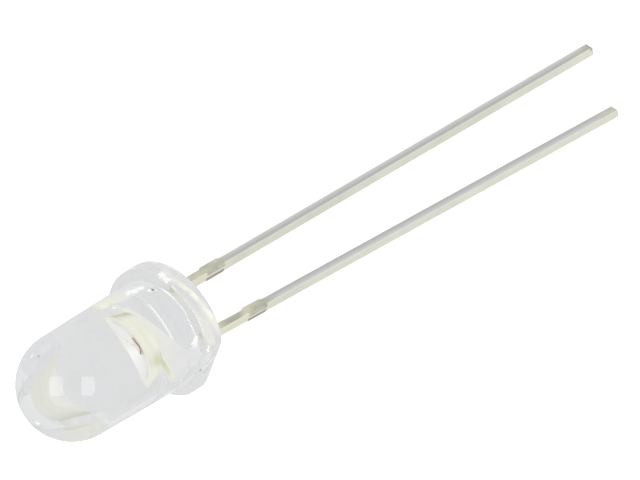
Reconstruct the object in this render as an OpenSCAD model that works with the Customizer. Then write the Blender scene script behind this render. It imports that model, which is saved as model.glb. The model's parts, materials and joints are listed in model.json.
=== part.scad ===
// Round water-clear light-emitting diode with two long leads, lying on a surface as it comes to rest.
// Every piece is drawn upright first: the optical axis is Z, the back of the flange is z = 0, the dome
// points up, the leads point down and the flat on the flange faces +X. lying() then lays it down.

/* [Epoxy body] */
// Diameter of the barrel where it leaves the flange
barrel_d = 5; // [4.7:0.05:5.3]
// Diameter of the barrel where the dome starts
dome_d = 4.8; // [4.5:0.05:5]
// Height of the body from the back of the flange to the tip of the dome
body_h = 8.6; // [8:0.1:10]
// Diameter of the flange
flange_d = 5.9; // [5.5:0.05:6.4]
// Thickness of the flange
flange_t = 1; // [0.8:0.05:1.4]
// Distance from the axis to the flat that marks the cathode
flat_offset = 2.5; // [2.5:0.02:2.7]
// Radius on both rims of the flange
rim_r = 0.12; // [0.05:0.01:0.2]
// Radius in the corner between flange and barrel
neck_r = 0.15; // [0.08:0.01:0.25]
// Height of the epoxy that climbs each lead behind the flange
meniscus_h = 0.25; // [0.1:0.05:0.5]
// Reach of that epoxy round the lead
meniscus_reach = 0.3; // [0.15:0.05:0.5]

/* [Leads] */
// Thickness of the stamped sheet
sheet_t = 0.48; // [0.4:0.01:0.55]
// Width of each lead in the plane of the sheet
lead_w = 0.38; // [0.34:0.01:0.5]
// Distance between the two leads at the flange
lead_pitch = 2.54; // [2.3:0.02:2.7]
// Length of the anode lead behind the flange
anode_l = 27.2; // [20:0.1:30]
// Length of the cathode lead behind the flange
cathode_l = 25.6; // [18:0.1:28]
// Angle by which each lead spreads outwards
lead_splay = 0.7; // [0:0.1:1.5]
// Angle by which the pair leans towards the flat
lead_lean = 1.5; // [0:0.1:2]
// Distance from the flange to the sheared tie bar stubs
stub_start = 3; // [2:0.1:6]
// Length of each stub along the lead
stub_l = 1.1; // [0.8:0.05:1.6]
// Height of a stub above the side of the lead
stub_out = 0.08; // [0.04:0.01:0.2]

/* [Lead frame inside the body] */
// Height at which the post and the anvil reach their full width on the outside
shoulder_z = 1.5; // [1.2:0.05:1.8]
// Length of the slope from the lead to its wide part
shoulder_slope = 0.4; // [0.2:0.05:0.6]
// Height of the foot of the gap between the post and the anvil
foot_z = 2.05; // [1.9:0.05:2.15]
// Distance from the axis to the outer edge of the post and of the anvil
head_reach = 1.85; // [1.7:0.05:1.95]
// Height of the top of the anvil plate, where the cup starts
anvil_z = 2.35; // [2.25:0.05:2.6]
// Height of the top of the post
post_z = 2.9; // [2.7:0.05:3.1]
// Gap between the post and the anvil
slot_w = 0.18; // [0.15:0.01:0.25]
// How far the slot leans across the axis from its top to its foot
slot_run = 0.1; // [0:0.02:0.2]
// Bevel on the outer corner of the anvil
anvil_bevel = 0.3; // [0.1:0.05:0.4]

/* [Cup, chip and wire] */
// Height of the rim of the reflector cup
cup_rim_z = 3.2; // [3.1:0.05:3.5]
// Diameter of the mouth of the cup
cup_d = 1.6; // [1.3:0.05:1.7]
// Diameter of the floor of the cup
cup_floor_d = 1; // [0.75:0.05:1.1]
// Depth of the cup
cup_depth = 0.33; // [0.25:0.01:0.45]
// Wall of the cup at its rim
cup_wall = 0.2; // [0.15:0.01:0.22]
// How much narrower the outside of the cup is at its foot than at its rim, on each side
cup_taper = 0.18; // [0.1:0.01:0.25]
// Side of the square chip
chip_w = 0.34; // [0.2:0.01:0.36]
// Thickness of the chip
chip_t = 0.15; // [0.1:0.01:0.2]
// Thickness of the conductive glue under the chip
glue_t = 0.02; // [0.015:0.005:0.04]
// Reach of the glue beyond the corners of the chip
glue_reach = 0.04; // [0.02:0.01:0.06]
// Diameter of the bond wire
wire_d = 0.03; // [0.025:0.005:0.05]
// Height of the wire's loop above the rim of the cup
wire_loop = 0.18; // [0.14:0.01:0.3]

/* [Hidden] */
$fn = 64;

// Left and right of the axis: the anode is on the -X side, the cathode under the flat on the +X side
ANODE = -1;
CATHODE = 1;

barrel_r = barrel_d / 2;
dome_r = dome_d / 2;
flange_r = flange_d / 2;
dome_z = body_h - dome_r;

// Each lead bends where it leaves the post or the anvil, just inside the back of the flange
bend_z = 0.3;
// Overlap of two shapes that are joined into one piece
join = 0.05;

cup_r = cup_d / 2;
cup_outer_r = cup_r + cup_wall;
cup_floor_z = cup_rim_z - cup_depth;
slot_top_x = -(cup_outer_r + slot_w);
slot_foot_x = slot_top_x + slot_run;
chip_z = cup_floor_z + glue_t;
chip_top_z = chip_z + chip_t;
glue_r = chip_w / sqrt(2) + glue_reach;
post_mid_x = (slot_top_x - head_reach) / 2;

// Resting pose. The rim of the flange and both lead tips touch the surface, because the weight lies
// just behind the flange. up = [up_x, up_y, up_z] is the upward direction in the upright frame.
function lead_angle(side) = side * lead_splay + lead_lean;
function lead_length(side) = (side == ANODE ? anode_l : cathode_l) + bend_z;
function tip_x(side) = side * lead_pitch / 2 + lead_length(side) * sin(lead_angle(side));
function tip_z(side) = bend_z - lead_length(side) * cos(lead_angle(side));

tip_slope = (tip_z(CATHODE) - tip_z(ANODE)) / (tip_x(CATHODE) - tip_x(ANODE));
tip_reach = tip_slope * (tip_x(ANODE) + lead_w / 2) - tip_z(ANODE) + rim_r;
function up_y_for(up_z) = sqrt(1 - up_z * up_z * (1 + tip_slope * tip_slope));
function next_up_z(up_z) =
    ((flange_r - rim_r) * sqrt(1 - up_z * up_z) + rim_r - up_y_for(up_z) * sheet_t / 2) / tip_reach;
function settle(up_z, steps) = steps == 0 ? up_z : settle(next_up_z(up_z), steps - 1);

up_z = settle(0, 6);
up_y = up_y_for(up_z);
up_x = -tip_slope * up_z;
rest_tilt = asin(up_z);
rest_roll = atan2(-up_x, up_y);

// Extents of the lying part, measured from the point where the axis meets the back of the flange
rest_height = (flange_r - rim_r) * cos(rest_tilt) + rim_r - rim_r * up_z;
dome_end = dome_z * cos(rest_tilt) + dome_r;
lead_end = -tip_z(ANODE) * cos(rest_tilt) + (tip_x(ANODE) * up_x + sheet_t / 2 * up_y) * tan(rest_tilt);
flat_corner_y = sqrt(flange_r * flange_r - flat_offset * flat_offset);
flat_side = flat_offset * cos(rest_roll) + flat_corner_y * sin(rest_roll);

// Lays an upright piece down: dome towards -X, leads towards +X, centred over the origin, on z = 0
module lying() {
    translate([(dome_end - lead_end) / 2, (flat_side - flange_r) / 2, rest_height])
        rotate([0, rest_tilt - 90, 0])
            rotate([0, 0, -90 - rest_roll])
                children();
}

// Half section of the body, turned round the axis by rotate_extrude
module body_section() {
    square([flange_r - rim_r, flange_t]);
    translate([0, rim_r])
        square([flange_r, flange_t - 2 * rim_r]);
    for (z = [rim_r, flange_t - rim_r])
        translate([flange_r - rim_r, z])
            circle(r = rim_r);
    polygon([[0, 0], [barrel_r, 0], [dome_r, dome_z], [0, dome_z]]);
    neck_x = barrel_r - (barrel_r - dome_r) * (flange_t + neck_r) / dome_z;
    difference() {
        translate([neck_x - neck_r, flange_t - join])
            square([2 * neck_r, neck_r + join]);
        translate([neck_x + neck_r, flange_t + neck_r])
            circle(r = neck_r);
    }
    intersection() {
        translate([0, dome_z])
            circle(r = dome_r);
        translate([0, dome_z - join])
            square([dome_r, dome_r + 2 * join]);
    }
}

// Epoxy that wets a lead behind the flange
module meniscus(side) {
    foot_r = lead_w / 2 + meniscus_reach;
    translate([side * lead_pitch / 2, 0, -meniscus_h])
        cylinder(r1 = norm([lead_w, sheet_t]) / 2, r2 = foot_r + join, h = meniscus_h + join);
}

module body_solid() {
    difference() {
        rotate_extrude()
            body_section();
        translate([flat_offset, -flange_r, -join])
            cube([flange_r, flange_d, flange_t + neck_r + 2 * join]);
    }
    meniscus(ANODE);
    meniscus(CATHODE);
}

// Sheet outline, drawn in X and Z and as thick as the sheet
module sheet() {
    rotate([90, 0, 0])
        linear_extrude(height = sheet_t, center = true)
            children();
}

// Straight lead from the bend to its tip, with the sheared stubs of the tie bar
module outer_lead(side) {
    translate([side * lead_pitch / 2, 0, bend_z])
        rotate([0, -lead_angle(side), 0])
            sheet() {
                translate([-lead_w / 2, -lead_length(side)])
                    square([lead_w, lead_length(side) + join]);
                translate([-lead_w / 2 - stub_out, -bend_z - stub_start - stub_l])
                    square([lead_w + 2 * stub_out, stub_l]);
            }
}

module anode_solid() {
    lead_x = -lead_pitch / 2;
    outer_lead(ANODE);
    sheet()
        polygon([
            [lead_x - lead_w / 2, bend_z],
            [lead_x + lead_w / 2, bend_z],
            [lead_x + lead_w / 2, shoulder_z - shoulder_slope],
            [slot_foot_x, foot_z],
            [slot_top_x, anvil_z],
            [slot_top_x, post_z],
            [-head_reach, post_z],
            [-head_reach, shoulder_z],
            [lead_x - lead_w / 2, shoulder_z - shoulder_slope],
        ]);
}

module cathode_solid() {
    lead_x = lead_pitch / 2;
    slot_lean = norm([slot_run, anvil_z - foot_z]) / (anvil_z - foot_z);
    anvil_top_x = slot_top_x + slot_w * slot_lean;
    anvil_foot_x = slot_foot_x + slot_w * slot_lean;
    difference() {
        union() {
            outer_lead(CATHODE);
            sheet()
                polygon([
                    [lead_x - lead_w / 2, bend_z],
                    [lead_x + lead_w / 2, bend_z],
                    [lead_x + lead_w / 2, shoulder_z - shoulder_slope],
                    [head_reach, shoulder_z],
                    [head_reach, anvil_z - anvil_bevel],
                    [head_reach - anvil_bevel, anvil_z],
                    [anvil_top_x, anvil_z],
                    [anvil_foot_x, foot_z],
                    [lead_x - lead_w / 2, shoulder_z - shoulder_slope],
                ]);
            translate([0, 0, anvil_z - join])
                cylinder(r1 = cup_outer_r - cup_taper, r2 = cup_outer_r, h = cup_rim_z - anvil_z + join);
        }
        translate([0, 0, cup_floor_z])
            cylinder(d1 = cup_floor_d, d2 = cup_d, h = cup_depth);
    }
}

module chip_solid() {
    translate([-chip_w / 2, -chip_w / 2, chip_z])
        cube([chip_w, chip_w, chip_t]);
}

module glue_solid() {
    translate([0, 0, cup_floor_z])
        cylinder(r = glue_r, h = glue_t);
}

// The wire's path: from the top of the chip over the rim of the cup to the top of the post
wire_steps = 18;
wire_sides = 8;
wire_ball = 1.8;
wire_rise = cup_rim_z + wire_loop - (chip_top_z + post_z) / 2;
function wire_z(t) = chip_top_z + (post_z - chip_top_z) * t + wire_rise * pow(sin(180 * t), 0.7);
function wire_point(i) = [post_mid_x * i / wire_steps, wire_z(i / wire_steps)];
// A ring leans with the path, and lies flat at each foot
function wire_lean(i) =
    i == 0 ? 0 :
    i == wire_steps ? -180 :
    let (d = wire_point(i + 1) - wire_point(i - 1)) -atan2(-d[0], d[1]);
function wire_radius(i) = wire_d / 2 * (i == 0 ? wire_ball : 1);
function wire_ring(i) = [
    for (k = [0 : wire_sides - 1])
        let (a = 360 * k / wire_sides, r = wire_radius(i), p = wire_point(i))
            [p[0] + r * cos(a) * cos(wire_lean(i)), r * sin(a), p[1] - r * cos(a) * sin(wire_lean(i))]
];

module wire_solid() {
    points = [for (i = [0 : wire_steps]) each wire_ring(i)];
    walls = [
        for (i = [0 : wire_steps - 1], k = [0 : wire_sides - 1])
            let (a = i * wire_sides + k, b = i * wire_sides + (k + 1) % wire_sides)
                [a, a + wire_sides, b + wire_sides, b]
    ];
    first = [for (k = [0 : wire_sides - 1]) k];
    last = [for (k = [wire_sides - 1 : -1 : 0]) wire_steps * wire_sides + k];
    polyhedron(points = points, faces = concat(walls, [first, last]));
}

module lens() {
    color([0.86, 0.89, 0.88, 0.45])
        lying()
            difference() {
                body_solid();
                anode_solid();
                cathode_solid();
                chip_solid();
                glue_solid();
                wire_solid();
            }
}

module anode_lead() {
    color([0.76, 0.76, 0.72])
        lying()
            anode_solid();
}

module cathode_lead() {
    color([0.76, 0.76, 0.72])
        lying()
            cathode_solid();
}

module led_chip() {
    color([0.85, 0.75, 0.3])
        lying()
            chip_solid();
}

module die_attach() {
    color([0.65, 0.65, 0.67])
        lying()
            glue_solid();
}

module bond_wire() {
    color([0.9, 0.72, 0.3])
        lying()
            wire_solid();
}

lens();
anode_lead();
cathode_lead();
led_chip();
die_attach();
bond_wire();
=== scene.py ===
"""Looks of a round water-clear light-emitting diode: clear body, tinned lead frame, chip and bond wire."""

import json
import math
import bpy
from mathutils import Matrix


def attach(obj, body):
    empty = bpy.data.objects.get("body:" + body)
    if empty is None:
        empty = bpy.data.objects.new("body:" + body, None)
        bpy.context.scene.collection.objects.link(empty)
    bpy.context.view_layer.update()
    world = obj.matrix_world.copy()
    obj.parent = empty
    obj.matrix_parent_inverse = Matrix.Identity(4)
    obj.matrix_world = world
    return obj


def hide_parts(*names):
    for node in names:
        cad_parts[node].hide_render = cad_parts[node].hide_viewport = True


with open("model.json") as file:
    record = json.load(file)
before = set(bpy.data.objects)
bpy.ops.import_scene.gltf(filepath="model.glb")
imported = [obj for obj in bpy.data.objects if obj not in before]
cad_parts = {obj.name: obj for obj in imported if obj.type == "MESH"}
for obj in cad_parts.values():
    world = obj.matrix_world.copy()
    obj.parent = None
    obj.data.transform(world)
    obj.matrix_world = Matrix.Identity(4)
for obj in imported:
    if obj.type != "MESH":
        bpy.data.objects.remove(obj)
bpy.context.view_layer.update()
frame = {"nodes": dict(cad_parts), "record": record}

from types import SimpleNamespace

import bmesh
import bpy
from mathutils import Matrix, Vector, noise

bl_info = {
    "name": "Through-hole LED looks",
    "version": (1, 0, 0),
    "blender": (4, 5, 0),
    "location": "View3D > Sidebar > LED",
    "description": "Builds the visible surfaces of a clear round LED around its packed solids",
    "category": "Object",
}

MM = 0.001
BODY = "root"
ANODE = -1
CATHODE = 1
NOT_SETTINGS = {"rna_type", "name"}


# The upright frame of the part: U from the anode to the cathode, A along the optical axis to the dome,
# both from the centre of the flange's back

MOUNTS = {mount["name"]: mount for mount in frame["record"]["mounts"]}
FLANGE_RIM = MOUNTS["flange_register"]
A_DIR = Vector(FLANGE_RIM["axis"]).normalized()
U_DIR = Vector(MOUNTS["polarity_flat"]["axis"]).normalized()
V_DIR = A_DIR.cross(U_DIR)
FLANGE_T_DEFAULT = 1.0  # the flange's mount is half of this above its back
BASE = Vector(FLANGE_RIM["pos_m"]) - A_DIR * (FLANGE_T_DEFAULT / 2 * MM)
UPRIGHT = Matrix((U_DIR, V_DIR, A_DIR)).transposed().to_4x4()
UPRIGHT.translation = BASE


def to_row(u, v, a):
    """A point of the upright frame, in millimetres, as a point of the row frame in metres."""
    return UPRIGHT @ Vector((u * MM, v * MM, a * MM))


def smooth(low, high, value):
    """0 below low, 1 above high, and an even turn between them."""
    t = min(1.0, max(0.0, (value - low) / (high - low)))
    return t * t * (3 - 2 * t)


# Settings


def length(name, description, default):
    """A length setting, with its default in millimetres."""
    return bpy.props.FloatProperty(
        name=name, description=description, default=default * MM, min=0.0, unit="LENGTH", precision=5
    )


def colour(name, description, default):
    """A colour setting."""
    return bpy.props.FloatVectorProperty(
        name=name, description=description, default=default, size=3, min=0.0, max=1.0, subtype="COLOR"
    )


def angle(name, description, default):
    """An angle setting, with its default in degrees."""
    return bpy.props.FloatProperty(
        name=name, description=description, default=math.radians(default), subtype="ANGLE"
    )


def number(name, description, default, low=0.0, high=1e6, **more):
    """A setting that is a plain number."""
    return bpy.props.FloatProperty(
        name=name, description=description, default=default, min=low, max=high, **more
    )


class LED_PG_body(bpy.types.PropertyGroup):
    """Sizes and finish of the clear epoxy body."""

    barrel_d: length("Barrel diameter", "Across the barrel at the flange", 5.0)
    dome_d: length("Dome diameter", "Across the barrel where the dome starts", 4.8)
    body_h: length("Body height", "From the back of the flange to the tip of the dome", 8.6)
    flange_d: length("Flange diameter", "Across the round part of the flange", 5.9)
    flange_t: length("Flange thickness", "Along the axis", FLANGE_T_DEFAULT)
    flat_offset: length("Flat offset", "From the axis to the flat", 2.5)
    rim_r: length("Rim radius", "Rounding of the flange's rims", 0.12)
    neck_r: length("Neck radius", "Fillet between flange and barrel", 0.15)
    flat_corner_r: length("Flat corner radius", "Rounding where the flat meets the round rim", 0.12)
    meniscus_h: length("Meniscus height", "Epoxy that climbs each lead", 0.25)
    meniscus_reach: length("Meniscus reach", "Spread of that epoxy round the lead", 0.3)
    dish: length("Dish of the back", "How far the back of the flange sinks as the epoxy cures", 0.05)
    ior: number("Index", "Index of refraction", 1.53, 1.0, 2.0)
    tint: colour("Tint", "Colour of the clear epoxy", (0.965, 0.97, 0.98))


class LED_PG_leads(bpy.types.PropertyGroup):
    """Sizes and finish of the lead frame."""

    sheet_t: length("Sheet thickness", "Thickness of the stamped sheet", 0.48)
    lead_w: length("Lead width", "Width of a lead in the plane of the sheet", 0.38)
    lead_pitch: length("Lead pitch", "Between the leads at the flange", 2.54)
    anode_l: length("Anode length", "Behind the flange", 27.2)
    cathode_l: length("Cathode length", "Behind the flange", 25.6)
    lead_splay: angle("Splay", "Each lead spreads outwards", 0.7)
    lead_lean: angle("Lean", "The pair leans towards the flat", 1.5)
    anode_twist: angle("Anode twist", "Turn of the anode lead about its own length", 17.0)
    cathode_twist: angle("Cathode twist", "Turn of the cathode lead about its own length", 12.0)
    stub_start: length("Stub start", "From the flange to the sheared stubs", 3.0)
    stub_l: length("Stub length", "Along the lead", 1.1)
    stub_out: length("Stub height", "Above the side of the lead", 0.08)
    edge_r: length("Edge radius", "Rounding along the lead's edges", 0.035)
    crown: length("Crown", "How far the cathode's broad faces bulge", 0.02)
    tin: colour("Tin", "Colour of the tin plating", (0.98, 0.98, 0.87))
    # Painted shade: the broad faces are darker than the narrow ones
    shaded_broad_face: colour("Rolled face", "Tin on the broad faces of the sheet", (0.665, 0.675, 0.66))
    steel: colour("Sheared steel", "Colour of bare sheared steel", (0.68, 0.63, 0.54))


class LED_PG_frame(bpy.types.PropertyGroup):
    """Sizes of the parts that are moulded in."""

    shoulder_z: length("Shoulder", "Where the leads widen outwards", 1.5)
    foot_z: length("Slot foot", "Bottom of the slot between post and anvil", 2.05)
    shoulder_slope: length("Shoulder slope", "Length of the slope to the wide part", 0.4)
    head_reach: length("Head reach", "From the axis to the outer edges", 1.85)
    anvil_z: length("Anvil height", "Top of the anvil plate", 2.35)
    post_z: length("Post height", "Top of the post", 2.9)
    slot_w: length("Slot", "Between post and anvil", 0.18)
    slot_run: length("Slot run", "How far the slot leans across the axis", 0.1)
    anvil_bevel: length("Anvil bevel", "Outer corner of the anvil", 0.3)
    cup_rim_z: length("Cup rim", "Height of the cup's rim", 3.2)
    cup_d: length("Cup mouth", "Diameter of the cup's mouth", 1.6)
    cup_floor_d: length("Cup floor", "Diameter of the cup's floor", 1.0)
    cup_depth: length("Cup depth", "From rim to floor", 0.33)
    cup_wall: length("Cup wall", "At the rim", 0.2)
    cup_taper: length("Cup taper", "The cup's foot is narrower by this much all round", 0.18)
    silver: colour("Silver", "Plating inside the cup", (0.97, 0.97, 0.95))
    chip: colour("Chip", "Colour of its plated top", (1.0, 0.90, 0.83))
    chip_side: colour("Chip side", "Colour of its sawn sides", (0.36, 0.31, 0.24))
    glue: colour("Glue", "Colour of the silver-filled glue", (0.95, 0.89, 0.81))
    gold: colour("Gold", "Colour of the bond wire", (1.0, 0.95, 0.84))


class LED_PG_stage(bpy.types.PropertyGroup):
    """Camera and light."""

    axis_angle: angle("Axis angle", "The optical axis above the picture's horizontal", 31.27)
    axis_depth: angle("Axis depth", "Tilt of the optical axis out of the picture plane", 37.0)
    roll: angle("Roll", "Turn of the part about its axis as the camera sees it", 24.5)
    scale: number("Scale", "Pixels to the millimetre", 23.62)
    base_x: number("Base X", "Column of the flange's back centre", 173.6)
    base_y: number("Base Y", "Row of the flange's back centre", 323.5)
    focal: number("Focal length", "In millimetres on a 36 mm frame", 800.0)
    floor: colour("Floor", "Colour of the floor", (0.9, 0.9, 0.9))
    lamp_angle: angle("Lamp angle", "Of each soft box from the camera's line of sight", 32.0)
    left_power: number("Left lamp", "In watts", 0.48, unit="POWER")
    right_power: number("Right lamp", "In watts", 0.58, unit="POWER")


def settings():
    """The scene's LED settings."""
    return bpy.context.scene.led_looks


class LED_PG_looks(bpy.types.PropertyGroup):
    """All the settings of the LED's looks."""

    body: bpy.props.PointerProperty(type=LED_PG_body)
    leads: bpy.props.PointerProperty(type=LED_PG_leads)
    frame: bpy.props.PointerProperty(type=LED_PG_frame)
    stage: bpy.props.PointerProperty(type=LED_PG_stage)


def sizes(group):
    """A group's lengths in millimetres, and its other values as they are."""
    values = {}
    for key, prop in group.bl_rna.properties.items():
        if key in NOT_SETTINGS:
            continue
        value = getattr(group, key)
        values[key] = value / MM if getattr(prop, "unit", "NONE") == "LENGTH" else value
    return SimpleNamespace(**values)


# Shader expressions


class Sock:
    """A node's output socket that takes part in Python expressions."""

    def __init__(self, maker, socket):
        self.maker = maker
        self.socket = socket

    def math(self, operation, *others):
        return self.maker.node("ShaderNodeMath", {"operation": operation}, [self, *others])

    def __add__(self, other):
        return self.math("ADD", other)

    __radd__ = __add__

    def __sub__(self, other):
        return self.math("SUBTRACT", other)

    def __rsub__(self, other):
        return self.maker.node("ShaderNodeMath", {"operation": "SUBTRACT"}, [other, self])

    def __mul__(self, other):
        return self.math("MULTIPLY", other)

    __rmul__ = __mul__

    def __truediv__(self, other):
        return self.math("DIVIDE", other)

    def __pow__(self, other):
        return self.math("POWER", other)

    def __gt__(self, other):
        return self.math("GREATER_THAN", other)

    def __lt__(self, other):
        return self.math("LESS_THAN", other)

    def clamp(self):
        return self.maker.node("ShaderNodeClamp", {}, [self])

    def contrast(self, gain):
        """Spread about the middle by a gain, and held between 0 and 1."""
        return ((self - 0.5) * gain + 0.5).clamp()

    def between(self, low, high):
        """Rises smoothly from 0 to 1 as the value goes from low to high."""
        return self.maker.node("ShaderNodeMapRange", {"interpolation_type": "SMOOTHSTEP"}, [self, low, high])


class Maker:
    """Builds one material or world: node() adds any node from its type, settings and inputs."""

    def __init__(self, owner):
        owner.use_nodes = True
        self.tree = owner.node_tree
        self.tree.nodes.clear()

    def node(self, kind, options=None, inputs=(), output=0):
        made = self.tree.nodes.new(kind)
        for key, value in (options or {}).items():
            if key == "stops":
                self.set_stops(made.color_ramp, value)
            else:
                setattr(made, key, value)
        pairs = inputs.items() if isinstance(inputs, dict) else enumerate(inputs)
        for key, value in pairs:
            self.feed(made.inputs[key], value)
        return Sock(self, made.outputs[output]) if made.outputs else made

    def feed(self, socket, value):
        if isinstance(value, Sock):
            self.tree.links.new(value.socket, socket)
        else:
            socket.default_value = rgba(value) if socket.type == "RGBA" else value

    @staticmethod
    def set_stops(ramp, stops):
        while len(ramp.elements) < len(stops):
            ramp.elements.new(0.5)
        for element, (position, value) in zip(ramp.elements, stops):
            element.position = position
            element.color = rgba(value)

    def mix(self, factor, low, high):
        """Mixes two colours."""
        made = self.tree.nodes.new("ShaderNodeMix")
        made.data_type = "RGBA"
        self.feed(made.inputs["Factor"], factor)
        self.feed(made.inputs["A"], low)
        self.feed(made.inputs["B"], high)
        return Sock(self, made.outputs["Result"])

    def noise(self, position, scale, detail=2.0):
        return self.node("ShaderNodeTexNoise", {}, {"Vector": position, "Scale": scale, "Detail": detail})

    def bump(self, height, distance, strength):
        return self.node("ShaderNodeBump", {}, {"Height": height, "Distance": distance, "Strength": strength})

    def dot(self, vector, axis):
        """How far a vector reaches along a fixed axis."""
        return self.node("ShaderNodeVectorMath", {"operation": "DOT_PRODUCT"}, [vector, tuple(axis)], "Value")

    def attribute(self, name):
        """A value that mark() has stored on the piece."""
        return self.node("ShaderNodeAttribute", {"attribute_name": name}, output="Fac")

    def ray(self, output):
        """One of the values that tell a ray's kind and how often it has bounced."""
        return self.node("ShaderNodeLightPath", output=output)

    def geometry(self, output):
        return self.node("ShaderNodeNewGeometry", output=output)

    def emission(self, tone):
        return self.node("ShaderNodeEmission", {}, {"Color": tone})

    def principled(self, inputs):
        return self.node("ShaderNodeBsdfPrincipled", {}, inputs)

    def layer(self, factor, under, over):
        """Mixes two shaders."""
        return self.node("ShaderNodeMixShader", {}, [factor, under, over])

    def surface(self, shader):
        self.node("ShaderNodeOutputMaterial", {}, {"Surface": shader})


def rgba(value):
    """A colour of three or four numbers, with full alpha."""
    return (*value[:3], 1.0)


def shade(value, share):
    """A colour made darker or lighter by a share."""
    return tuple(part * share for part in value[:3])


def object_point(maker):
    """Position on the surface, in the row frame, in metres."""
    return maker.node("ShaderNodeTexCoord", output="Object")


def stretched(maker, position, along, across):
    """Position drawn out along the leads, for marks that run with them."""
    mapping = {"Rotation": (0.0, -math.asin(A_DIR.z), 0.0), "Scale": (along, across, across)}
    return maker.node("ShaderNodeMapping", {"vector_type": "TEXTURE"}, {"Vector": position, **mapping})


def upright(maker, point):
    """Position in the upright frame, in millimetres."""
    local = maker.node("ShaderNodeVectorMath", {"operation": "SUBTRACT"}, [point, tuple(BASE)])
    return tuple(maker.dot(local, axis) / MM for axis in (U_DIR, V_DIR, A_DIR))


def away_from(position, start, end):
    """Distance of a position (u, v, a) from the stretch between two points, in millimetres."""
    run = [far - near for near, far in zip(start, end)]
    span = sum(part * part for part in run)
    offset = [value - near for value, near in zip(position, start)]
    if span:
        share = (sum((part * step for part, step in zip(offset, run)), 0.0) / span).clamp()
        offset = [part - share * step for part, step in zip(offset, run)]
    return sum((part ** 2.0 for part in offset), 0.0) ** 0.5


# Materials: tones, depths in metres, and places and sizes in millimetres of the upright frame

INNER_GLOW = (0.73, 0.74, 0.75)  # painted glow for light that has bounced often inside the body
RIM_SHINE = (0.97, 0.96, 0.84)  # painted reflection of the lead frame's light on the flange's side
WARM_TIN = ((0.93, 0.935, 0.74), (1.0, 1.0, 0.90))  # the leads' wide heads and the cup's outside
STAINED_TIN = ((0.54, 0.54, 0.45), (0.80, 0.78, 0.62))  # broad faces near the body
SIDE_HIGHLIGHT_TIN = (1.0, 0.98, 0.80)  # painted highlight on the narrow faces near the body
BURNISHED_TIN = (1.0, 1.0, 0.93)  # the line that the punch leaves on a stub
BURIED_TIN = (0.90, 0.905, 0.90)  # inside the body, below the heads

# Noise, in features to the metre
CAST_WAVES, GLOW_PATCHES = 260.0, 500.0
STREAK_BREAKS, SIDE_BANDS, SPECK_EDGES = 2200.0, 700.0, 4500.0
DRAWN_LINES, LAPPED_LINES, MOTTLE, BLOTCH, GRAIN = 9000.0, 9000.0, 2600.0, 700.0, 22000.0
SAW_LINES = 30000.0

WAVE_DEPTH = 0.00001  # of the cast skin
DRAWN_DEPTH = 0.00001  # of the lines along a lead
SAW_DEPTH = 0.000004  # of the saw marks on the chip
FILLET_WAVES = 0.00003  # of the upper edge of the glue on the chip
GLUE_FINISH = (0.45, 40000.0, 0.000004)  # roughness, grains to the metre, and their depth
WIRE_FINISH = (0.18, 30000.0, 0.000001)

GATHERED_SHARE = 0.92  # how much of a satin metal's ray stops at the skin on a painted glow, for its even light
# Tones of that painted glow, which varies over the skin
GATHERED_TONES = ((0.92, 0.92, 0.91), (1.0, 1.0, 1.0))
ONCE_SHARE, TWICE_SHARE = 0.2, 0.38  # how much of a ray glows after one mirror bounce, and more after two
DOME_GLOW_SHARE = 0.38  # how much painted glow lies over the dome's skin
DOME_GLOW_FROM, DOME_GLOW_TO = 4.5, 6.5  # heights between which that sets in
# The painted reflection on the flange's side: strength of its streak and bands, and where the streak lies
STREAK_SHARE, BANDS_SHARE = 0.8, 0.32
STREAK_A, STREAK_SLANT = 0.6, 0.196  # height of the streak's middle at U = 0, and its fall along U
STREAK_EDGES = (0.2, 0.05)  # from that middle to where the streak starts and is full
STREAK_V, STREAK_U = (1.9, 2.4), (-0.9, 0.1)  # where the streak sets in round the flange
FLANGE_SIDE_R2 = 8.4  # square of a radius just inside the flange's side
SPECK_CORE = 0.3  # share of a speck's radius that has its full strength
GLINT_TONE, BUBBLE_TONE = 1.0, 0.25
GLINT_RAGGED, BUBBLE_RAGGED = 3.0, 0.6  # how uneven a speck's edge is, as a share of its radius
BROAD_FACING = (0.6, 0.97)  # how squarely a broad face of a lead looks along V
SIDE_HIGHLIGHT_SHARE = 0.8
TOP_FACING = 0.7  # how squarely the chip's top looks along the axis, at least

# Painted glints of light, then dark bubbles, on the body's skin: both ends, radius and strength
GLINTS = (
    ((-0.84, 2.36, 1.49), (-0.84, 2.36, 1.49), 0.12, 0.9),
    ((0.41, -0.57, 8.5), (0.41, -0.57, 8.5), 0.14, 0.85),
    ((-1.54, 1.25, 7.55), (-1.54, 1.25, 7.55), 0.12, 0.7),
    ((-1.37, 2.05, 2.15), (-1.24, 2.13, 1.62), 0.26, 0.9),
    ((-1.05, 2.76, 0.80), (-0.56, 2.90, 0.82), 0.19, 0.85),
    ((1.88, 1.60, 1.10), (2.05, 1.42, 1.32), 0.19, 0.85),
)
BUBBLES = (
    ((-0.77, 2.37, 1.35), (-0.77, 2.37, 1.35), 0.11, 0.95),
    ((2.5, 0.0, 0.82), (2.5, 0.0, 0.82), 0.10, 0.8),
)

# Values that are stored on the leads' meshes for their material
MARKS = ("sheared", "burnish", "flank", "light", "near", "cup", "head", "outside")


def rim_light(maker, point, position):
    """How much of the lead frame's light is painted on the flange's side: a slanting streak and faint bands.
    """
    u, v, a = position
    streak = (a + u * STREAK_SLANT - STREAK_A).math("ABSOLUTE").between(*STREAK_EDGES)
    streak = streak * v.between(*STREAK_V) * u.between(*STREAK_U)
    broken = (maker.noise(point, STREAK_BREAKS) * 2.6 - 0.5).clamp()
    bands = ((maker.noise(stretched(maker, point, 0.3, 1.0), SIDE_BANDS) - 0.45) * 6.0).clamp()
    on_side = (u * u + v * v) > FLANGE_SIDE_R2
    return (streak * broken * STREAK_SHARE + bands * BANDS_SHARE).clamp() * on_side


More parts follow.
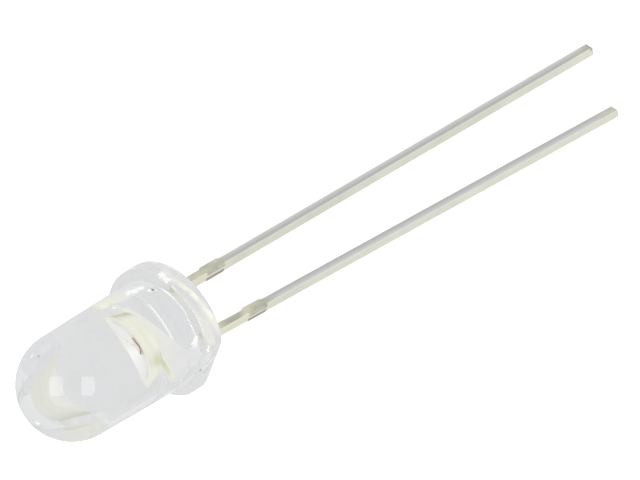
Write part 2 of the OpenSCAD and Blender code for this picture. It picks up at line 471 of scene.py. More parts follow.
def add_specks(maker, shader, point, position):
    """Painted glints on the flange, the barrel and the dome, and two tiny dark bubbles under the skin."""
    uneven = maker.noise(point, SPECK_EDGES) - 0.5
    kinds = ((GLINTS, GLINT_TONE, GLINT_RAGGED), (BUBBLES, BUBBLE_TONE, BUBBLE_RAGGED))
    for specks, tone, ragged in kinds:
        mask = 0.0
        for start, end, radius, strength in specks:
            away = away_from(position, start, end) + uneven * (radius * ragged)
            mask = (away.between(radius, radius * SPECK_CORE) * strength).math("MAXIMUM", mask)
        shader = maker.layer(mask, shader, maker.emission((tone, tone, tone)))
    return shader


def epoxy_material(body):
    """Water-clear moulded epoxy with the faint unevenness of a cast surface, and painted glows and glints."""
    material = bpy.data.materials.new("clear_epoxy")
    maker = Maker(material)
    point = object_point(maker)
    position = upright(maker, point)
    inside = maker.geometry("Backfacing")
    outside = 1 - inside
    clear = maker.principled(
        {
            "Base Color": body.tint,
            "Roughness": 0.0,
            "IOR": body.ior,
            "Transmission Weight": 1.0,
            "Normal": maker.bump(maker.noise(point, CAST_WAVES, 0.0), WAVE_DEPTH, 0.15),
        },
    )

    # Satin metal inside sees light through the skin from everywhere, so its ray stops there on a painted glow
    from_satin = maker.ray("Is Glossy Ray") * (1 - maker.ray("Is Singular Ray"))
    glow_patches = maker.noise(point, GLOW_PATCHES, 1.0).contrast(4.0)
    gathered_glow = maker.layer(glow_patches, *(maker.emission(tone) for tone in GATHERED_TONES))
    lit = maker.layer(from_satin * inside * GATHERED_SHARE, clear, gathered_glow)
    # A painted reflection of the lead frame on the flange's side
    lit = maker.layer(rim_light(maker, point, position) * outside, lit, maker.emission(RIM_SHINE))

    # Light that has bounced often inside comes from all round, so a ray stops on a painted glow after more
    # than two mirror bounces or eight in all, and in part before that. The same painted glow lies over the
    # dome's skin, which makes it look a little hazy.
    bounces = maker.ray("Glossy Depth")
    deep = (bounces > 2.5) + (maker.ray("Ray Depth") > 8.5)
    bounced = ((bounces > 0.5) * ONCE_SHARE + (bounces > 1.5) * TWICE_SHARE) * inside
    dome_glow = position[2].between(DOME_GLOW_FROM, DOME_GLOW_TO) * DOME_GLOW_SHARE * outside
    lit = maker.layer((deep + bounced + dome_glow).clamp(), lit, maker.emission(INNER_GLOW))
    maker.surface(add_specks(maker, lit, point, position))
    return material


def tinned_material(leads, silver):
    """Tin-plated sheet: satin, drawn along the lead, stained near the body, and bare where it was sheared."""
    material = bpy.data.materials.new("tinned_lead")
    maker = Maker(material)
    point = object_point(maker)
    sheared, burnish, flank, light, near, cup, head, outside = (maker.attribute(name) for name in MARKS)
    drawn = maker.noise(stretched(maker, point, 6.0, 1.0), DRAWN_LINES, 3.0)
    lapped = maker.noise(stretched(maker, point, 1.0, 14.0), LAPPED_LINES)
    mottle = maker.noise(stretched(maker, point, 2.0, 1.0), MOTTLE)
    blotch = maker.noise(point, BLOTCH, 3.0)
    grain = maker.noise(point, GRAIN)
    broad = maker.dot(maker.geometry("Normal"), V_DIR).math("ABSOLUTE").between(*BROAD_FACING)

    warm = maker.mix(lapped.contrast(3.0), *WARM_TIN)
    stained = maker.mix(mottle.contrast(2.5), *STAINED_TIN)
    # Painted shade on the broad faces, with painted shading across them; stained near the body
    shaded_broad_face = maker.mix(light, shade(leads.shaded_broad_face, 0.86), shade(leads.shaded_broad_face, 1.16))
    shaded_broad_face = maker.mix(near, shaded_broad_face, stained)
    plating = maker.mix(blotch.contrast(1.6), shade(leads.tin, 0.88), leads.tin)
    plating = maker.mix(outside, BURIED_TIN, plating)
    plating = maker.mix(head, plating, warm)
    plating = maker.mix(cup, plating, silver)
    plating = maker.mix(outside * broad, plating, shaded_broad_face)
    # A painted highlight on the narrow faces near the body
    plating = maker.mix(outside * near * (1 - broad) * SIDE_HIGHLIGHT_SHARE, plating, SIDE_HIGHLIGHT_TIN)
    plating = maker.mix(flank, plating, stained)
    plating = maker.mix(burnish, plating, BURNISHED_TIN)

    torn = maker.mix(grain.contrast(1.8), shade(leads.steel, 0.6), leads.steel)
    bare = (sheared * 1.6 + grain * 0.5 - 0.55).clamp()
    shader = maker.principled(
        {
            "Base Color": maker.mix(bare, plating, torn),
            "Metallic": 1.0,
            "Roughness": 0.27 + blotch * 0.16 + bare * 0.25,
            "Normal": maker.bump((drawn + grain * 0.5) * outside, DRAWN_DEPTH, 0.5),
        },
    )
    maker.surface(shader)
    return material


def metal_material(name, tone, roughness, grain_scale, grain_depth):
    """A small metal part with a fine grain and a little change of tone."""
    material = bpy.data.materials.new(name)
    maker = Maker(material)
    grain = maker.noise(object_point(maker), grain_scale, 3.0)
    shader = maker.principled(
        {
            "Base Color": maker.mix(grain.contrast(1.5), shade(tone, 0.82), tone),
            "Metallic": 1.0,
            "Roughness": roughness + grain * 0.12,
            "Normal": maker.bump(grain, grain_depth, 0.4),
        },
    )
    maker.surface(shader)
    return material


def chip_material(tone, side, glue, fillet_z):
    """Sawn semiconductor: a plated top, and darker sides with fine saw marks and glue up to fillet_z."""
    material = bpy.data.materials.new("chip_body")
    maker = Maker(material)
    point = object_point(maker)
    saw = maker.noise(stretched(maker, point, 1.0, 5.0), SAW_LINES)
    top = maker.dot(maker.geometry("Normal"), A_DIR) > TOP_FACING
    fillet = (maker.dot(point, A_DIR) - (BASE.dot(A_DIR) + fillet_z * MM)) < saw * FILLET_WAVES
    sides = maker.mix(fillet, side, glue)
    shader = maker.principled(
        {
            "Base Color": maker.mix(top, sides, tone),
            "Metallic": (top + fillet).clamp(),
            "Roughness": 0.3 + saw * 0.2,
            "Normal": maker.bump(saw, SAW_DEPTH, 0.5),
        },
    )
    maker.surface(shader)
    return material


# Meshes: sizes in millimetres that no setting changes, and counts of points

BEND = 0.3  # height at which the leads bend, just inside the back of the flange
PLATE_FOOT = BEND - 0.2  # height at which post and anvil end, inside the leads
PLATE_BEVEL = 0.03
CUP_SUNK = 0.05  # depth of the cup's foot in the anvil
CUP_LIP = 0.04  # rounding of the cup's rim
CUP_SHOULDER = (0.01, 0.08)  # in from the cup's outside and down from its rim, where it turns upright
CUP_CORNER = (0.02, 0.015)  # out and up, between the cup's floor and its wall
GLUE_CLIMB = 0.09  # height of the glue on the chip's sides
DISH_FLAT = 0.6  # share of the back's radius within which its dish is level
SAME_POINT = 2e-7  # in metres

BODY_AROUND = 256  # points round the body
BACK_STEPS, SIDE_STEPS, LEDGE_STEPS, BARREL_STEPS, DOME_STEPS = 64, 8, 5, 30, 48
CORNER_STEPS = 6

# Along a lead, as distances behind the flange, or from the end or corner that is named
RING_STEP = 0.3
BACK_RINGS = (-0.6, -0.2, 0.0)  # where a lead starts inside its plate, and enters the body
STUB_RINGS = (-0.05, -0.02, 0.0, 0.02, 0.05)  # from each corner of a stub
TIP_RINGS = (0.0, 0.02, 0.05, 0.1, 0.16)  # before the end
TWIST_RUN = (-0.4, 0.6)  # where a lead takes up its twist
STUB_CORNER = 0.03  # softness of a stub's corners
STUB_LEAST = 0.35  # share of a stub's height that its lower edge has
TIP_L = 0.14  # how far the cut reaches back from the end
TIP_SLANT = 0.05  # how far the cut face leans
TIP_BEVEL, TIP_THINNER, TIP_NARROWER = 0.30, 0.06, 0.08  # shares that the cut takes off
ROLLED_WAVE = 0.006  # how far the broad faces wave
WAVE_ALONG, WAVE_APART, WAVE_ACROSS = 0.7, 5.0, 0.3  # pace of that wave, and between the two leads

# Where the stored values of a lead change
SIDE_FROM, SIDE_TO = 0.9, 1.05  # as shares of half the width
TEAR_EDGE = (-0.04, 0.02)  # height where a stub's torn part gives way to the burnished line
LINE_EDGE = (0.05, 0.11)  # height where the burnished line gives way to the stained part
STUB_FADE = 0.04  # softness at both ends of a stub
LINE_FADE, LINE_SHARE = 0.05, 0.7  # the same for the burnished line, and its strength
SPOT_OUTER, SPOT_INNER, SPOT_DIP = 0.09, 0.02, 0.5  # the brighter spots at both ends of that line
CUT_RUN = (-0.06, -0.02)  # from the end: where bare steel sets in
BURNT_RUN, BURNT_EDGE = (-0.3, -0.12), (0.02, 0.14)  # from the end, and heights: the anode's burnt tip
STAIN_RUN = (-0.3, 0.9)  # from the far end of the stubs: where the stain fades out
TIP_STAIN, TIP_STAIN_RUN = 0.6, (-1.8, -0.3)  # strength of the stain at the end, and where it sets in
RIDGE_FALL, RIDGE_RISE = (0.0, 0.9), (0.15, 1.0)  # shares of the width: the anode's painted shading, the cathode's
PLATED_RIM, PLATED_FLOOR = 0.06, 0.02  # how far the cup's bright plating reaches out and down
HEAD_RUN, BODY_RUN = (2.0, 2.4), (-1.6, -0.2)  # heights: where the head starts, and the body hides the lead


def new_piece(name, vertices, faces, materials, replaces=()):
    """A closed mesh in the row frame that rides on the body and stands for the named solids."""
    mesh = bpy.data.meshes.new(name)
    mesh.from_pydata([tuple(v) for v in vertices], [], faces)
    if not mesh.polygons or mesh.validate():
        raise RuntimeError(f"{name}: no sound mesh came of these sizes")
    for material in materials:
        mesh.materials.append(material)
    made = bpy.data.objects.new(name, mesh)
    bpy.context.scene.collection.objects.link(made)
    finish_normals(mesh)
    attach(made, BODY)
    if replaces:
        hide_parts(*replaces)
    return made


def finish_normals(mesh, sharp=math.radians(35)):
    """Turns every face outwards and shades it smooth up to sharp edges."""
    edit = bmesh.new()
    edit.from_mesh(mesh)
    bmesh.ops.remove_doubles(edit, verts=edit.verts, dist=SAME_POINT)
    bmesh.ops.recalc_face_normals(edit, faces=edit.faces)
    for face in edit.faces:
        face.smooth = True
    for edge in edit.edges:
        edge.smooth = not (edge.is_manifold and edge.calc_face_angle(0.0) > sharp)
    edit.to_mesh(mesh)
    edit.free()


def arc(centre, radius, start, end, steps):
    """Points of an arc in the half plane of radius and height, angles in degrees."""
    points = []
    for i in range(steps + 1):
        turn = math.radians(start + (end - start) * i / steps)
        points.append((centre[0] + radius * math.cos(turn), centre[1] + radius * math.sin(turn)))
    return points


def line(start, end, steps):
    """Points of a line without its first one."""
    return [
        (start[0] + (end[0] - start[0]) * i / steps, start[1] + (end[1] - start[1]) * i / steps)
        for i in range(1, steps + 1)
    ]


def wall_faces(first, count, rings):
    """The quads between rings of count points each, where the first ring starts at index first."""
    faces = []
    for ring in range(rings - 1):
        low = first + ring * count
        for k in range(count):
            after = (k + 1) % count
            faces.append((low + k, low + after, low + count + after, low + count + k))
    return faces


def turned_faces(count, rings):
    """The faces of a closed turned skin: one point, the rings of count points each, and one point."""
    last = 1 + (rings - 1) * count
    tip = last + count
    faces = [(0, 1 + (k + 1) % count, 1 + k) for k in range(count)]
    faces += wall_faces(1, count, rings)
    faces += [(last + k, last + (k + 1) % count, tip) for k in range(count)]
    return faces


def body_profile(b):
    """Half section of the body, from the centre of its back to the tip of the dome."""
    flange_r = b.flange_d / 2
    dome_r = b.dome_d / 2
    dome_z = b.body_h - dome_r
    slope = (b.barrel_d / 2 - dome_r) / dome_z
    neck_x = b.barrel_d / 2 - slope * (b.flange_t + b.neck_r)
    rim_x, rim_z = flange_r - b.rim_r, b.flange_t - b.rim_r
    corner = CORNER_STEPS
    points = line((0, 0), (rim_x, 0), BACK_STEPS)
    points += arc((rim_x, b.rim_r), b.rim_r, -90, 0, corner)[1:]
    points += line(points[-1], (flange_r, rim_z), SIDE_STEPS)
    points += arc((rim_x, rim_z), b.rim_r, 0, 90, corner)[1:]
    points += line(points[-1], (neck_x + b.neck_r, b.flange_t), LEDGE_STEPS)
    points += arc((neck_x + b.neck_r, b.flange_t + b.neck_r), b.neck_r, 270, 180, corner)[1:]
    points += line(points[-1], (dome_r, dome_z), BARREL_STEPS)
    points += arc((0, dome_z), dome_r, 0, 90, DOME_STEPS)[1:-1]
    return points


def soft_limit(value, limit, radius):
    """value, held under limit with a rounded corner of about that radius."""
    overlap = (value - limit + radius) / (2 * radius)
    if overlap <= 0:
        return value
    if overlap >= 1:
        return limit
    return value - radius * overlap * overlap


def meniscus_depth(b, l, u, v):
    """How far the epoxy climbs back along a lead at a point of the flange's back."""
    deepest = 0.0
    for side in (ANODE, CATHODE):
        du = max(abs(u - side * l.lead_pitch / 2) - l.lead_w / 2, 0.0)
        dv = max(abs(v) - l.sheet_t / 2, 0.0)
        away = math.hypot(du, dv) / b.meniscus_reach
        deepest = max(deepest, b.meniscus_h * max(0.0, 1 - away) ** 2)
    return deepest


def body_mesh(b, l):
    """The clear body as one closed skin: turned profile, flat on the flange, menisci at the leads."""
    profile = body_profile(b)
    flange_top = b.flange_t + b.neck_r * 1.01
    back_r = b.flange_d / 2 - b.rim_r
    vertices = [to_row(0, 0, b.dish)]
    for radius, z in profile:
        for k in range(BODY_AROUND):
            turn = 2 * math.pi * k / BODY_AROUND
            u, v = radius * math.cos(turn), radius * math.sin(turn)
            if z < flange_top:
                u = soft_limit(u, b.flat_offset, b.flat_corner_r)
            height = z
            if z == 0:
                sunk = b.dish * (1 - smooth(back_r * DISH_FLAT, back_r, radius))
                height += sunk - meniscus_depth(b, l, u, v)
            vertices.append(to_row(u, v, height))
    vertices.append(to_row(0, 0, b.body_h))
    return vertices, turned_faces(BODY_AROUND, len(profile))


def rounded_section(width, thickness, radius, crown, corner_steps=3, face_steps=6):
    """Corner-rounded rectangle, whose faces across the thickness bulge by the crown."""
    corners = []
    for sx, sy, start in ((1, 1, 0), (-1, 1, 90), (-1, -1, 180), (1, -1, 270)):
        for i in range(corner_steps + 1):
            turn = math.radians(start + 90 * i / corner_steps)
            x = sx * (width / 2 - radius) + radius * math.cos(turn)
            y = sy * (thickness / 2 - radius) + radius * math.sin(turn)
            corners.append((x, y))
    points = []
    for here, after in zip(corners, corners[1:] + corners[:1]):
        points.append(here)
        if math.dist(here, after) > radius:
            points += line(here, after, face_steps)[:-1]
    half = width / 2
    return [(x, y - math.copysign(crown * (x / half) ** 2, y)) for x, y in points]


def lead_angle(l, side):
    """How far a lead leans from the optical axis, towards the flat."""
    return side * l.lead_splay + l.lead_lean


def lead_length(l, side):
    """A lead's length behind the flange."""
    return l.anode_l if side == ANODE else l.cathode_l


def lead_twist(l, side, s):
    """Turn of the lead about itself, which it takes up as it leaves the body."""
    return (l.anode_twist if side == ANODE else l.cathode_twist) * smooth(*TWIST_RUN, s)


def lead_stations(l, side):
    """Distances behind the flange at which the lead has a ring, closer at the stubs and the tip."""
    end = lead_length(l, side)
    steps = int(end / RING_STEP)
    stations = set(BACK_RINGS)
    stations |= {round(end * i / steps, 4) for i in range(steps)}
    for corner in (l.stub_start, l.stub_start + l.stub_l):
        stations |= {round(corner + distance, 4) for distance in STUB_RINGS}
    stations |= {round(end - distance, 4) for distance in TIP_RINGS}
    return sorted(stations)


def lead_point(l, side, x, y, s):
    """A point of a lead: x and y across it, s behind the flange along it."""
    twist = lead_twist(l, side, s)
    c, n = math.cos(twist), math.sin(twist)
    x, y = x * c - y * n, x * n + y * c
    turn = lead_angle(l, side)
    reach = s + BEND
    u = side * l.lead_pitch / 2 + reach * math.sin(turn) + x * math.cos(turn)
    a = BEND - reach * math.cos(turn) + x * math.sin(turn)
    return to_row(u, y, a)


def lead_mesh(l, side):
    """One lead behind the body, with rounded edges, sheared stubs and a cut tip."""
    section = rounded_section(l.lead_w, l.sheet_t, l.edge_r, l.crown if side == CATHODE else 0.0)
    stations = lead_stations(l, side)
    end = lead_length(l, side)
    vertices = []
    for s in stations:
        stub = on_stub(l, s, STUB_CORNER)
        tip = smooth(end - TIP_L, end, s)
        for x, y in section:
            on_side = abs(x) / (l.lead_w / 2) > 0.5
            lower = smooth(-l.sheet_t * 0.5, l.sheet_t * 0.3, y)
            grow = l.stub_out * stub * (STUB_LEAST + (1 - STUB_LEAST) * lower) * on_side
            px = x + math.copysign(grow, x)
            py = y * (1 - TIP_BEVEL * tip * (y > 0)) * (1 - TIP_THINNER * tip)
            along = s - tip * TIP_SLANT * (y / l.sheet_t + 0.5)
            wave = noise.noise((s * WAVE_ALONG, side * WAVE_APART, x * WAVE_ACROSS)) * ROLLED_WAVE
            vertices.append(lead_point(l, side, px * (1 - TIP_NARROWER * tip), py + wave, along))
    count = len(section)
    faces = wall_faces(0, count, len(stations))
    faces.append(tuple(range(count)))
    faces.append(tuple(reversed(range((len(stations) - 1) * count, len(stations) * count))))
    return vertices, faces


def plate_mesh(outline, thickness, bevel):
    """A stamped plate with soft edges from its outline in U and A."""
    edit = bmesh.new()
    bottom = [edit.verts.new(to_row(u, -thickness / 2, a)) for u, a in outline]
    face = edit.faces.new(bottom)
    moved = bmesh.ops.extrude_face_region(edit, geom=[face])
    raised = [v for v in moved["geom"] if isinstance(v, bmesh.types.BMVert)]
    bmesh.ops.translate(edit, verts=raised, vec=V_DIR * thickness * MM)
    bmesh.ops.recalc_face_normals(edit, faces=edit.faces)
    bmesh.ops.bevel(edit, geom=list(edit.edges), offset=bevel * MM, segments=2, profile=0.6, affect="EDGES")
    edit.verts.index_update()
    vertices = [v.co.copy() for v in edit.verts]
    faces = [tuple(v.index for v in f.verts) for f in edit.faces]
    edit.free()
    return vertices, faces


def turned_mesh(profile, around=64):
    """A closed shape turned about the optical axis from (radius, height) points that start and end on it."""
    vertices = [to_row(0, 0, profile[0][1])]
    inner = profile[1:-1]
    for radius, z in inner:
        for k in range(around):
            turn = 2 * math.pi * k / around
            vertices.append(to_row(radius * math.cos(turn), radius * math.sin(turn), z))
    vertices.append(to_row(0, 0, profile[-1][1]))
    return vertices, turned_faces(around, len(inner))


def merge(*parts):
    """Several (vertices, faces) pairs as one."""
    vertices, faces = [], []
    for part_vertices, part_faces in parts:
        start = len(vertices)
        vertices += part_vertices
        faces += [tuple(start + i for i in face) for face in part_faces]
    return vertices, faces


def slot_edge(f):
    """The four corners of the slot between post and anvil, as U values."""
    cup_outer_r = f.cup_d / 2 + f.cup_wall
    top = -(cup_outer_r + f.slot_w)
    foot = top + f.slot_run
    lean = math.hypot(f.slot_run, f.anvil_z - f.foot_z) / (f.anvil_z - f.foot_z)
    return top, foot, top + f.slot_w * lean, foot + f.slot_w * lean


def post_outline(f, l):
    """Outline of the post in U and A, from its foot inside the anode lead."""
    top, foot, _, _ = slot_edge(f)
    x, w, step = -l.lead_pitch / 2, l.lead_w / 2, f.shoulder_z - f.shoulder_slope
    return [
        (x - w, PLATE_FOOT), (x + w, PLATE_FOOT), (x + w, step), (foot, f.foot_z),
        (top, f.anvil_z), (top, f.post_z), (-f.head_reach, f.post_z),
        (-f.head_reach, f.shoulder_z), (x - w, step),
    ]


def anvil_outline(f, l):
    """Outline of the anvil in U and A, from its foot inside the cathode lead."""
    _, _, top, foot = slot_edge(f)
    x, w, step = l.lead_pitch / 2, l.lead_w / 2, f.shoulder_z - f.shoulder_slope
    return [
        (x - w, PLATE_FOOT), (x + w, PLATE_FOOT), (x + w, step), (f.head_reach, f.shoulder_z),
        (f.head_reach, f.anvil_z - f.anvil_bevel), (f.head_reach - f.anvil_bevel, f.anvil_z),
        (top, f.anvil_z), (foot, f.foot_z), (x - w, step),
    ]


def cup_profile(f):
    """The coined cup: outside from its foot to the rim, over it, and down to the floor."""
    mouth = f.cup_d / 2
    outer = mouth + f.cup_wall
    floor = f.cup_floor_d / 2
    floor_z = f.cup_rim_z - f.cup_depth
    foot_z = f.anvil_z - CUP_SUNK
    lip, chamfer = CUP_LIP, CUP_LIP * 0.3
    shoulder_in, shoulder_down = CUP_SHOULDER
    corner_out, corner_up = CUP_CORNER
    return [
        (0, foot_z),
        (outer - f.cup_taper, foot_z),
        (outer - shoulder_in, f.cup_rim_z - shoulder_down),
        (outer, f.cup_rim_z - lip),
        (outer - chamfer, f.cup_rim_z - chamfer),
        (outer - lip, f.cup_rim_z),
        (mouth + lip, f.cup_rim_z),
        (mouth + chamfer, f.cup_rim_z - chamfer),
        (mouth - chamfer, f.cup_rim_z - lip),
        (floor + corner_out, floor_z + corner_up),
        (floor - corner_out, floor_z),
        (0, floor_z),
    ]


def mark(made, name, value_at):
    """Stores value_at(u, v, a), in millimetres of the upright frame, at each point of a piece."""
    inverse = UPRIGHT.inverted()
    values = [value_at(*(inverse @ vertex.co / MM)) for vertex in made.data.vertices]
    made.data.attributes.new(name, "FLOAT", "POINT").data.foreach_set("value", values)


def lead_local(l, side, u, v, a):
    """Undoes lead_point: how far a point of the upright frame is across the lead, x and y, and along it, s."""
    turn = lead_angle(l, side)
    du, da = u - side * l.lead_pitch / 2, a - BEND
    s = du * math.sin(turn) - da * math.cos(turn) - BEND
    x = du * math.cos(turn) + da * math.sin(turn)
    twist = lead_twist(l, side, s)
    c, n = math.cos(twist), math.sin(twist)
    return x * c + v * n, v * c - x * n, s


def on_stub(l, s, soft):
    """1 along the sheared stubs and 0 beyond them."""
    end = l.stub_start + l.stub_l
    return smooth(l.stub_start - soft, l.stub_start + soft, s) - smooth(end - soft, end + soft, s)


def beside(l, x):
    """1 on the sides of a lead and 0 on its broad faces."""
    return smooth(l.lead_w / 2 * SIDE_FROM, l.lead_w / 2 * SIDE_TO, abs(x))


def fade(place, run, s):
    """0 before a stretch that is given from a place along the lead, and 1 after it."""
    return smooth(place + run[0], place + run[1], s)


def sheared_at(l, side):
    """1 where a lead is bare sheared steel: the lower part of its stubs' sides and its cut tip."""
    end = lead_length(l, side)

    def value(u, v, a):
        x, y, s = lead_local(l, side, u, v, a)
        torn = on_stub(l, s, STUB_FADE) * (beside(l, x) * (1 - smooth(*TEAR_EDGE, y)))
        burnt = fade(end, BURNT_RUN, s) * smooth(*BURNT_EDGE, y) if side == ANODE else 0.0
        return max(torn, fade(end, CUT_RUN, s), burnt)

    return value


def burnish_at(l, side):
    """1 on the bright line that the punch leaves above a stub's torn side, and at both ends of the stub."""

    def value(u, v, a):
        x, y, s = lead_local(l, side, u, v, a)
        on_line = smooth(*TEAR_EDGE, y) * (1 - smooth(*LINE_EDGE, y))
        spots = on_stub(l, s, SPOT_OUTER) - on_stub(l, s, SPOT_INNER) * SPOT_DIP
        strength = max(on_stub(l, s, LINE_FADE) * LINE_SHARE, spots)
        return max(0.0, min(1.0, beside(l, x) * on_line * strength))

    return value


def flank_at(l, side):
    """1 on the upper part of a stub's side, which is as stained as its face."""

    def value(u, v, a):
        x, y, s = lead_local(l, side, u, v, a)
        return on_stub(l, s, STUB_FADE) * beside(l, x) * smooth(*LINE_EDGE, y)

    return value


def light_at(l, side):
    """Painted shading across a lead's broad faces: falling to the anode's ridge, rising to the cathode's."""

    def value(u, v, a):
        across = lead_local(l, side, u, v, a)[0] / l.lead_w + 0.5
        return 1 - smooth(*RIDGE_FALL, across) if side == ANODE else smooth(*RIDGE_RISE, across)

    return value


def near_at(l, side):
    """1 near the body, where the plating is stained, fading out beyond the stubs, and less so at the tip."""
    stub_end = l.stub_start + l.stub_l
    end = lead_length(l, side)

    def value(u, v, a):
        s = lead_local(l, side, u, v, a)[2]
        return 1 - fade(stub_end, STAIN_RUN, s) + TIP_STAIN * fade(end, TIP_STAIN_RUN, s)

    return value


def cup_at(f):
    """1 inside the cup, which is plated brighter."""
    mouth_r = f.cup_d / 2 + PLATED_RIM
    foot = f.cup_rim_z - f.cup_depth - PLATED_FLOOR

    def value(u, v, a):
        return float(math.hypot(u, v) < mouth_r and a > foot)

    return value


def head_at(u, v, a):
    """1 on the wide heads of the leads and the cup, which are lapped and warmer in tone."""
    return smooth(*HEAD_RUN, a)


def outside_at(u, v, a):
    """1 on the leads behind the body, fading to 0 where they enter it."""
    return 1.0 - smooth(*BODY_RUN, a)


# Stage: sizes in metres, and tones

FLOOR_W = 3.0
FLOOR_GLOW = (0.72, 0.72, 0.72)  # added for the camera, so that the floor shows as white
FLOOR_MIRRORED = (0.80, 0.80, 0.80)  # the floor's even tone in metal and glass
MIRRORED_SHARE = 0.75
LAMP_DISTANCE = 0.4
LAMP_DROP = 0.04  # how far below the camera, as a share of the distance
LAMP_SIZE = (0.2, 0.26)
STUDIO_BANDS = [(0.0, (0.86,) * 3), (0.35, (0.82,) * 3), (0.75, (0.76,) * 3), (1.0, (0.82,) * 3)]
KEY_SIDE = (-0.4, -0.8, 0.45)  # the side that the studio is brightest on
KEY_TONE = (0.88, 0.88, 0.88)
KEY_WIDTH, KEY_SHARP = 0.2, 2.0  # how far that side reaches round, and how fast it sets in
FILL_TONE = (0.3, 0.3, 0.3)  # for rays that light the floor and the leads
WHITE = (1.0, 1.0, 1.0)


def place_camera(s):
    """A camera so placed that the part has the photograph's angle, scale and place in a 640 by 480 frame."""
    width, height, sensor = 640, 480, 36.0
    along = Vector((math.cos(s.axis_angle), math.sin(s.axis_angle), 0))
    across = Vector((math.sin(s.axis_angle), -math.cos(s.axis_angle), 0))
    near = Vector((0, 0, 1))
    axis = -math.cos(s.axis_depth) * along + math.sin(s.axis_depth) * near
    side = math.sin(s.axis_depth) * along + math.cos(s.axis_depth) * near
    u = math.cos(s.roll) * across + math.sin(s.roll) * side
    seen = Matrix((u, axis.cross(u), axis)).transposed()
    turn = UPRIGHT.to_3x3() @ seen.transposed()
    pixel = MM / s.scale
    distance = s.focal / sensor * width * pixel
    offset = Vector(((s.base_x - width / 2) * pixel, (height / 2 - s.base_y) * pixel, -distance))
    data = bpy.data.cameras.new("camera")
    data.lens = s.focal
    data.sensor_width = sensor
    data.clip_start = 0.01
    data.clip_end = 10.0
    camera = bpy.data.objects.new("camera", data)
    camera.matrix_world = Matrix.Translation(BASE - turn @ offset) @ turn.to_4x4()
    bpy.context.scene.collection.objects.link(camera)
    bpy.context.scene.camera = camera


def make_floor(s):
    """A plain pale floor that the camera, metal and glass see as white, with the object's shadow on it."""
    half = FLOOR_W / 2
    corners = [(-half, -half, 0), (half, -half, 0), (half, half, 0), (-half, half, 0)]
    mesh = bpy.data.meshes.new("floor")
    mesh.from_pydata(corners, [], [(0, 1, 2, 3)])
    floor = bpy.data.objects.new("floor", mesh)
    bpy.context.scene.collection.objects.link(floor)
    material = bpy.data.materials.new("floor")
    maker = Maker(material)
    diffuse = maker.node("ShaderNodeBsdfDiffuse", {}, {"Color": s.floor})
    seen = maker.node("ShaderNodeAddShader", {}, [diffuse, maker.emission(FLOOR_GLOW)])
    mirrored = maker.layer(mirrored_ray(maker) * MIRRORED_SHARE, diffuse, maker.emission(FLOOR_MIRRORED))
    maker.surface(maker.layer(maker.ray("Is Camera Ray"), mirrored, seen))
    mesh.materials.append(material)


def mirrored_ray(maker):
    """1 for rays that show the background by reflection or through the body."""
    return (maker.ray("Is Glossy Ray") + maker.ray("Is Transmission Ray")).clamp()


def area_light(name, place, up, size, power):
    """A rectangular lamp that faces the part and stands upright to the camera."""
    data = bpy.data.lights.new(name, "AREA")
    data.shape = "RECTANGLE"
    data.size, data.size_y = size
    data.energy = power
    lamp = bpy.data.objects.new(name, data)
    back = place.normalized()
    right = up.cross(back).normalized()
    turn = Matrix((right, back.cross(right), back)).transposed()
    lamp.matrix_world = Matrix.Translation(place) @ turn.to_4x4()
    bpy.context.scene.collection.objects.link(lamp)


def make_lights(s):
    """Two soft boxes left and right of the camera, which show as a pair of highlights on the dome."""
    turn = bpy.context.scene.camera.matrix_world.to_3x3()
    for name, side, power in (("left", -1, s.left_power), ("right", 1, s.right_power)):
        towards = turn @ Vector((side * math.sin(s.lamp_angle), -LAMP_DROP, math.cos(s.lamp_angle)))
        area_light(f"soft_box_{name}", towards * LAMP_DISTANCE, turn.col[1], LAMP_SIZE, power)


def make_world():
    """White to the camera, and to metal and glass a soft studio, brightest behind and above the dome."""
    world = bpy.data.worlds.new("studio")
    bpy.context.scene.world = world
    maker = Maker(world)
    direction = maker.node("ShaderNodeTexCoord", output="Generated")
    up = maker.node("ShaderNodeSeparateXYZ", {}, [direction], output="Z")
    grey = maker.node("ShaderNodeValToRGB", {"stops": STUDIO_BANDS}, [up])
    key = ((maker.dot(direction, KEY_SIDE) + KEY_WIDTH) * KEY_SHARP).clamp()
    studio = maker.mix(key, grey, KEY_TONE)
    shown = maker.mix(mirrored_ray(maker), FILL_TONE, studio)
    shown = maker.mix(maker.ray("Is Camera Ray"), shown, WHITE)
    background = maker.node("ShaderNodeBackground", {}, {"Color": shown, "Strength": 1.0})
    maker.node("ShaderNodeOutputWorld", {}, {"Surface": background})


# Operators


class LED_OT_stage(bpy.types.Operator):
    """Place the camera, the floor and the studio light"""

    bl_idname = "led.stage"
    bl_label = "Stage"

    def execute(self, context):
        s = settings().stage
        if min(s.scale, s.focal) <= 0:
            raise RuntimeError("the camera needs a scale and a focal length above zero")
        place_camera(s)
        make_floor(s)
        make_lights(s)
        make_world()
        context.scene.view_settings.view_transform = "Standard"
        return {"FINISHED"}


class LED_OT_body(bpy.types.Operator):
    """Build the clear epoxy body"""

    bl_idname = "led.body"
    bl_label = "Clear body"

    def execute(self, context):
        b, l = sizes(settings().body), sizes(settings().leads)
        vertices, faces = body_mesh(b, l)
        new_piece("clear_body", vertices, faces, [epoxy_material(b)], ["lens"])
        return {"FINISHED"}


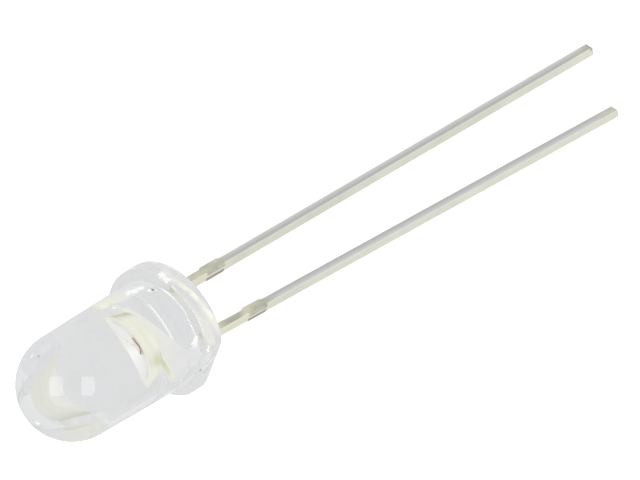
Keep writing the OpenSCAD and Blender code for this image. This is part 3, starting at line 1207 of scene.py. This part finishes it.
class LED_OT_leads(bpy.types.Operator):
    """Build both leads with the post, the anvil and the cup"""

    bl_idname = "led.leads"
    bl_label = "Lead frame"

    def execute(self, context):
        l, f = sizes(settings().leads), sizes(settings().frame)
        tinned = tinned_material(l, f.silver)
        inner = {
            ANODE: [plate_mesh(post_outline(f, l), l.sheet_t, PLATE_BEVEL)],
            CATHODE: [plate_mesh(anvil_outline(f, l), l.sheet_t, PLATE_BEVEL), turned_mesh(cup_profile(f))],
        }
        pieces = ((ANODE, "anode_frame", "anode_lead"), (CATHODE, "cathode_frame", "cathode_lead"))
        for side, name, node in pieces:
            vertices, faces = merge(lead_mesh(l, side), *inner[side])
            made = new_piece(name, vertices, faces, [tinned], [node])
            values = (
                sheared_at(l, side), burnish_at(l, side), flank_at(l, side), light_at(l, side),
                near_at(l, side), cup_at(f), head_at, outside_at,
            )
            for key, value_at in zip(MARKS, values):
                mark(made, key, value_at)
        return {"FINISHED"}


class LED_OT_chip(bpy.types.Operator):
    """Give the chip, its glue and the bond wire their finish"""

    bl_idname = "led.chip"
    bl_label = "Chip and wire"

    def execute(self, context):
        f = sizes(settings().frame)
        fillet_z = f.cup_rim_z - f.cup_depth + GLUE_CLIMB
        finishes = {
            "led_chip": (chip_material(f.chip, f.chip_side, f.glue, fillet_z), "chip_body"),
            "die_attach": (metal_material("silver_glue", f.glue, *GLUE_FINISH), "silver_glue"),
            "bond_wire": (metal_material("gold_wire", f.gold, *WIRE_FINISH), "gold_wire"),
        }
        for node, (material, slot) in finishes.items():
            if node not in frame["nodes"]:
                raise RuntimeError(f"the frame has no {node}")
            solid = frame["nodes"][node]
            solid.data.materials.clear()
            solid.data.materials.append(material)
        return {"FINISHED"}


class LED_PT_panel(bpy.types.Panel):
    """Lists the steps that build the LED's looks, and their settings"""

    bl_idname = "LED_PT_panel"
    bl_label = "LED"
    bl_space_type = "VIEW_3D"
    bl_region_type = "UI"
    bl_category = "LED"

    def draw(self, context):
        for operator in (LED_OT_stage, LED_OT_body, LED_OT_leads, LED_OT_chip):
            self.layout.operator(operator.bl_idname)
        for name in ("body", "leads", "frame", "stage"):
            group = getattr(settings(), name)
            box = self.layout.box()
            box.label(text=name.title())
            for key in group.bl_rna.properties.keys():
                if key not in NOT_SETTINGS:
                    box.prop(group, key)


CLASSES = (
    LED_PG_body, LED_PG_leads, LED_PG_frame, LED_PG_stage, LED_PG_looks,
    LED_OT_stage, LED_OT_body, LED_OT_leads, LED_OT_chip, LED_PT_panel,
)


def register():
    for cls in CLASSES:
        bpy.utils.register_class(cls)
    bpy.types.Scene.led_looks = bpy.props.PointerProperty(type=LED_PG_looks)


def unregister():
    del bpy.types.Scene.led_looks
    for cls in reversed(CLASSES):
        bpy.utils.unregister_class(cls)


def main():
    register()
    bpy.ops.led.stage()
    bpy.ops.led.body()
    bpy.ops.led.leads()
    bpy.ops.led.chip()


if __name__ == "__main__":
    main()
